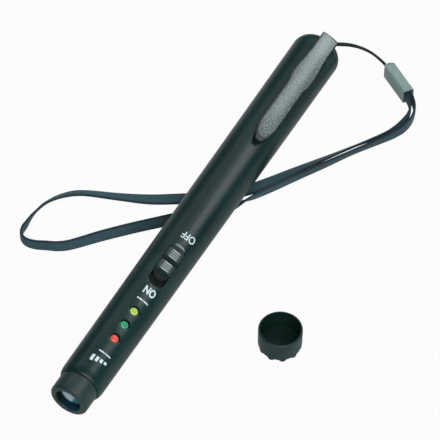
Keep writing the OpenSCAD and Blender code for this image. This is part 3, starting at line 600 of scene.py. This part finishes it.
def webbing():
    """The woven wrist strap on the floor, and its line."""
    half, thick = WEBBING_HALF_W, WEBBING_HALF_T
    line, frames = [], []
    route = flowing(WEBBING_ROUTE, 8)
    for p in route:
        lean = math.radians(p[2])
        height = p[3] * WEBBING_LIFT + thick * math.cos(lean) + half * abs(math.sin(lean))
        line.append(Vector((p[0] * MM, p[1] * MM, FLOOR_Z + height)))
    for p, way in zip(route, headings(line)):
        lean = math.radians(p[2])
        level = Vector((-way.y, way.x, 0)).normalized()
        across = level * math.cos(lean) + Vector((0, 0, 1)) * math.sin(lean)
        across = (across - way * across.dot(way)).normalized()
        frames.append((across, way.cross(across)))
    upper = []
    for k in range(13):
        share = math.cos(math.pi * k / 12)
        a = half * math.copysign(abs(share) ** 0.6, share)
        swell = 1 - abs(a / half) ** 8
        ribs = 0.93 + 0.07 * math.cos(4 * math.pi * a / half)
        upper.append((a, thick * ribs * max(swell, 0.0) ** 0.5, a))
    section = upper + [(a, -b, m) for a, b, m in reversed(upper[1:-1])]
    band = swept("strap_band", line, frames, section, half)
    belongs(band, "case", "webbing_weave", webbing_weave, "strap_webbing")
    return band, line


cord, cord_line = thin_cord()
band, band_line = webbing()


# Shells: the solids' own shapes with their sharp edges broken, as they come out of a mould or a press

def edge_broken(node, body, slot, finish, width, segments=2, angle=32):
    """A copy of a node's solid with rounded edges, which stands for the node."""
    take(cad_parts[node])
    bpy.ops.object.duplicate()
    shell = named(node + "_shell")
    for key in list(shell.keys()):
        del shell[key]
    shell.parent = None
    work_on(shell)
    bpy.ops.mesh.select_all(action="SELECT")
    bpy.ops.mesh.customdata_custom_splitnormals_clear()
    bpy.ops.mesh.remove_doubles(threshold=1e-6)
    bpy.ops.mesh.dissolve_limited(angle_limit=math.radians(0.5))
    put_down()
    finish_with(shell, "BEVEL", width=width, segments=segments, limit_method="ANGLE",
                angle_limit=math.radians(angle))
    smooth(shell, 30)
    finish_with(shell, "WEIGHTED_NORMAL", keep_sharp=True, weight=80)
    return belongs(shell, body, slot, finish, node)


bead = edge_broken("strap_bead", "case", "bead_plastic", bead_plastic, 0.5 * MM, 4, 20)
round(length_of(cord_line), 4)
round(length_of(band_line), 4)
edge_broken("upper_case", "case", "case_plastic", case_plastic, 0.12 * MM)
edge_broken("lower_case", "case", "case_plastic", case_plastic, 0.1 * MM)
edge_broken("battery_cover", "cover", "case_plastic", case_plastic, 0.1 * MM)
edge_broken("nose_collar", "case", "collar_plastic", collar_plastic, 0.1 * MM)
edge_broken("sensor_can", "case", "can_steel", can_steel, 0.06 * MM)
edge_broken("case_screws", "case", "screw_steel", screw_steel, 0.06 * MM)
edge_broken("switch_knob", "switch", "knob_plastic", knob_plastic, 0.08 * MM)
edge_broken("pocket_clip", "clip", "clip_plastic", clip_plastic, 0.14 * MM)
edge_broken("clip_plate", "clip", "clip_face", clip_face, 0.06 * MM)
edge_broken("protective_cap", "cap", "cap_plastic", cap_plastic, 0.12 * MM)


# Screen print on the case: ON and OFF, and plain marks by the lights

INK = 0.03 * MM
SIDE = -0.45 * MM
LEVELS_X, LEVEL_W = 8.2 * MM, 0.95 * MM
LEVELS = [(-2.6 * MM, 0.9 * MM), (-1.1 * MM, 1.4 * MM), (0.4 * MM, 1.9 * MM), (1.9 * MM, 2.4 * MM)]
LINES_X, LINE_W = (10.2 * MM, 33.9 * MM), 0.45 * MM
LINE_ENDS = (-2.4 * MM, 2.0 * MM)


def letters(word, x, side, high, wide, bold):
    """Flat letters on the top of an upright pen, read with the nose upwards."""
    put_down()
    bpy.ops.object.text_add(location=(0, 0, 0))
    text = named("print_" + word.lower())
    text.data.body = word
    text.data.align_x, text.data.align_y = "CENTER", "CENTER"
    text.data.size = 1
    text.data.offset = bold
    text.data.extrude = 0.5
    take(text)
    bpy.ops.object.convert(target="MESH")
    text = named("print_" + word.lower())
    low = [min(v.co[i] for v in text.data.vertices) for i in range(2)]
    top = [max(v.co[i] for v in text.data.vertices) for i in range(2)]
    text.location = (-(low[0] + top[0]) / 2, -(low[1] + top[1]) / 2, 0)
    settle(text)
    text.scale = (wide / (top[0] - low[0]), high / (top[1] - low[1]), 2 * MM)
    text.rotation_euler = (0, 0, math.pi / 2)
    text.location = (x, side, body_r(x))
    return settle(text)


def bar(x0, x1, y0, y1):
    """A printed bar between two stations, as a block through the surface."""
    put_down()
    x, y = (x0 + x1) / 2, (y0 + y1) / 2
    bpy.ops.mesh.primitive_cube_add(size=1, location=(x, y, body_r(x)))
    block = bpy.context.object
    block.scale = (x1 - x0, y1 - y0, 2 * MM)
    return settle(block)


def joined(name, blocks):
    """The blocks as one piece."""
    take(blocks[0])
    for block in blocks[1:]:
        block.select_set(True)
    bpy.ops.object.join()
    return named(name)


def printed(mark):
    """Keeps what of the mark lies at the case's surface, as a film of ink."""
    put_down()
    bpy.ops.mesh.primitive_cone_add(vertices=360, radius1=FRONT_R + INK, radius2=REAR_R + INK, depth=PEN_LEN,
                                    location=(PEN_LEN / 2, 0, 0), rotation=(0, math.pi / 2, 0))
    film = settle(bpy.context.object)
    finish_with(mark, "BOOLEAN", operation="INTERSECT", object=film, solver="EXACT", use_self=True)
    bpy.data.objects.remove(film)
    mark.rotation_euler = (ROLL, 0, 0)
    settle(mark)
    smooth(mark, 30)
    return belongs(mark, "case", None, print_ink)


printed(letters("ON", 38.3 * MM, SIDE, high=3.1 * MM, wide=4.3 * MM, bold=0.036))
printed(letters("OFF", 63.6 * MM, SIDE, high=2.9 * MM, wide=5.0 * MM, bold=0.014))
printed(joined("print_levels", [bar(LEVELS_X - high, LEVELS_X, y, y + LEVEL_W) for y, high in LEVELS]))
printed(joined("print_lines", [bar(x, x + LINE_W, *LINE_ENDS) for x in LINES_X]))


# Floor, light and room

PEN_MIDDLE = 0.08
put_down()
bpy.ops.mesh.primitive_circle_add(vertices=96, radius=1.6, fill_type="NGON",
                                  location=(PEN_MIDDLE, 0, FLOOR_Z - 0.02 * MM))
floor = settle(named("floor"))
f = Finish("floor_paper")
tooth = f.noise(f.place(), 1 / (0.6 * MM), 3)
camera_ray = f.node("LightPath", out="Is Camera Ray")
rays = camera_ray.socket.node.outputs
bounced = Lead(f, rays["Is Glossy Ray"]).most(Lead(f, rays["Is Transmission Ray"]))
seen = camera_ray.most(bounced * 0.12)
paper = f.node("BsdfDiffuse", None, {"Color": f.blend(tooth, shade("b9bdbd"), shade("c4c8c8"))})
white = f.node("Emission", None, {"Color": (1, 1, 1, 1), "Strength": 1.0})
both = f.node("MixShader", None, {0: seen * 0.945, 1: paper, 2: white})
f.node("OutputMaterial", None, {"Surface": both})
floor.data.materials.append(f.material)

room = bpy.data.worlds.new("room")
bpy.context.scene.world = room
room.use_nodes = True
sky = Finish("room", room.node_tree)
air = sky.node("Background", None, {"Color": (0.5, 0.95, 1.0, 1), "Strength": 0.14})
sky.node("OutputWorld", None, {"Surface": air})


def soft_light(name, place, aim, size, power):
    """A rectangular lamp of so many watts, turned to its aim."""
    put_down()
    bpy.ops.object.light_add(type="AREA", location=place)
    lamp = named(name)
    lamp.data.shape = "RECTANGLE"
    lamp.data.size, lamp.data.size_y = size
    lamp.data.energy = power
    lamp.rotation_euler = (Vector(aim) - Vector(place)).to_track_quat("-Z", "Y").to_euler()


soft_light("key_light", (-0.50, -0.42, 0.73), (PEN_MIDDLE, 0, 0), (1.0, 1.0), 11)
soft_light("rear_light", (0.56, -0.28, 0.54), (0.1, 0, 0), (0.62, 0.34), 3.0)
soft_light("side_light", (0.46, 0.30, 0.52), (0.1, 0, 0), (0.66, 0.4), 0.75)

bpy.context.scene.view_settings.view_transform = "Standard"

put_down()
bpy.context.view_layer.update()
